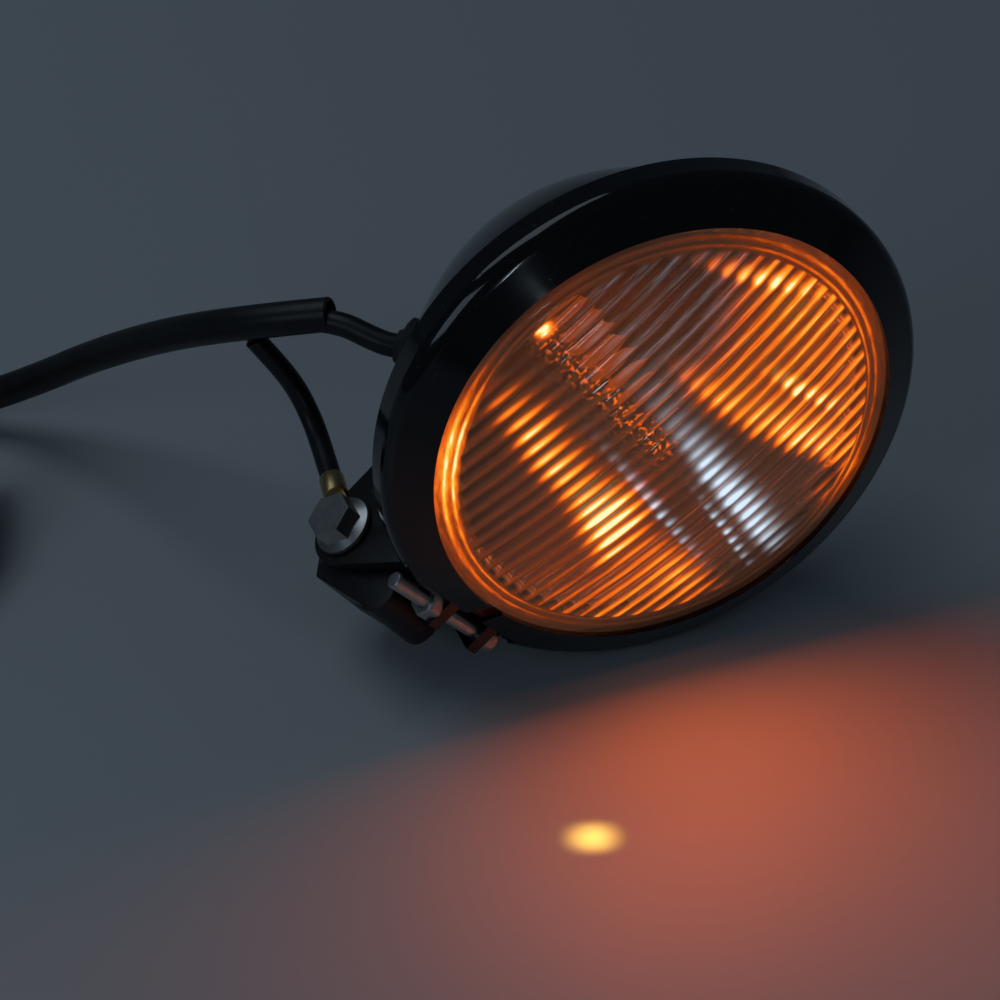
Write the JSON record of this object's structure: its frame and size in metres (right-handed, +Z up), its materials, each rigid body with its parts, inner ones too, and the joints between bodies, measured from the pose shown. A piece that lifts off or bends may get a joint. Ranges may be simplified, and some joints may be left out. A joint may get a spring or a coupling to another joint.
{
  "type": "round bucket spot lamp",
  "caption": "Round black bucket spot lamp with a fluted clear lens, amber bulb, tilting clevis foot and a sleeved lead, lying on its side.",
  "frame": {"origin": "on the surface the lamp lies on, under the middle of the lamp without its leads", "axes": "-Y the way the lens faces, +Z up, +X away from the mounting foot"},
  "size_m": [0.2937, 0.1583, 0.1248],
  "materials": {
    "black_enamel": "deep gloss stove enamel, even and dark",
    "bracket_black": "satin black paint, worn bare on the lobes",
    "zinc_steel": "bright zinc plate, slightly dulled",
    "lens_glass": "clear pressed glass, polished",
    "mirror_metal": "aluminised, bright",
    "amber_glass": "amber coated glass, lit",
    "bulb_metal": "satin pressed metal",
    "contact_brass": "tarnished, satin",
    "black_rubber": "soft matt rubber",
    "black_sheath": "slightly waxy vinyl sheath",
    "nylon": "natural nylon, satin"
  },
  "bodies": {
    "lamp": {"bucket_shell": "black_enamel", "mount_clevis": "bracket_black", "clevis_bolts": "zinc_steel", "clevis_nuts": "zinc_steel", "cable_grommet": "black_rubber", "lead_receptacle": "nylon", "inner_lead": "black_sheath", "pivot_nut": "zinc_steel", "earth_terminal": "contact_brass", "lead_branch_a": "black_sheath", "lead_branch_b": "black_sheath", "cable_sleeve": "black_sheath", "sleeve_coil": "black_sheath", "lead_connector": "nylon", "connector_bullets": "contact_brass"},
    "optical_unit": {"trim_rim": "black_enamel", "rim_nut": "zinc_steel", "front_lens": "lens_glass", "lens_gasket": "black_rubber", "reflector": "mirror_metal", "retaining_clips": "zinc_steel", "bulb_capsule": "amber_glass", "bulb_base": "bulb_metal", "bulb_blade": "contact_brass", "bulb_clip": "zinc_steel"},
    "clamp_screw": {"rim_screw": "zinc_steel"},
    "foot": {"mount_foot": "bracket_black", "friction_washers": "zinc_steel"},
    "pivot": {"pivot_bolt": "zinc_steel"}
  },
  "joints": [
    {"name": "optical_unit_pull", "type": "slide", "parent": "lamp", "child": "optical_unit", "axis": [0, -1, 0], "range_m": [0, 0.02]},
    {"name": "clamp_screw_turn", "type": "hinge", "parent": "optical_unit", "child": "clamp_screw", "pos_m": [-0.04219, -0.0293, 0.0213], "axis": [0.6639, 0, -0.7478], "continuous": true},
    {"name": "foot_tilt", "type": "hinge", "parent": "lamp", "child": "foot", "pos_m": [-0.05101, -0.0009, 0.02088], "axis": [0.6018, 0, -0.7986], "range_deg": [-5, 60]},
    {"name": "pivot_bolt_turn", "type": "hinge", "parent": "lamp", "child": "pivot", "pos_m": [-0.05101, -0.0009, 0.02088], "axis": [0.6018, 0, -0.7986], "continuous": true}
  ]
}
